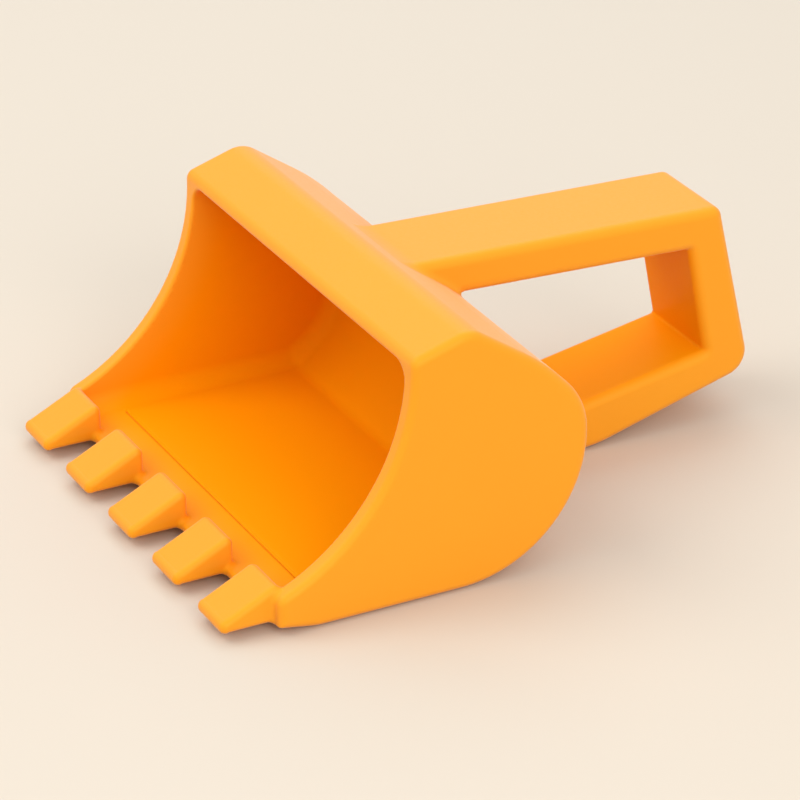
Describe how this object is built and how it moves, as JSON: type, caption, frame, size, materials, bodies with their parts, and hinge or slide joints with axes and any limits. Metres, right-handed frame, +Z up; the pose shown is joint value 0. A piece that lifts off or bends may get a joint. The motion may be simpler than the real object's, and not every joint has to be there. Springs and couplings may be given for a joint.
{
  "type": "excavator-bucket sand scoop",
  "caption": "Hand-held toy sand scoop shaped like an excavator bucket, with a toothed lip, flat cheeks, a round heel and a closed loop handle.",
  "frame": {"origin": "on the resting plane, at mid width, under the front edge of the brow", "axes": "+X across the bucket, +Y from the teeth back to the handle, +Z up from the flat floor"},
  "size_m": [0.15, 0.2064, 0.0813],
  "materials": {
    "orange_plastic": "satin, soft-edged, coloured through"
  },
  "bodies": {
    "root": {"bucket_shell": "orange_plastic", "cutting_edge": "orange_plastic", "tooth_1": "orange_plastic", "tooth_2": "orange_plastic", "tooth_3": "orange_plastic", "tooth_4": "orange_plastic", "tooth_5": "orange_plastic", "handle": "orange_plastic"}
  },
  "joints": []
}
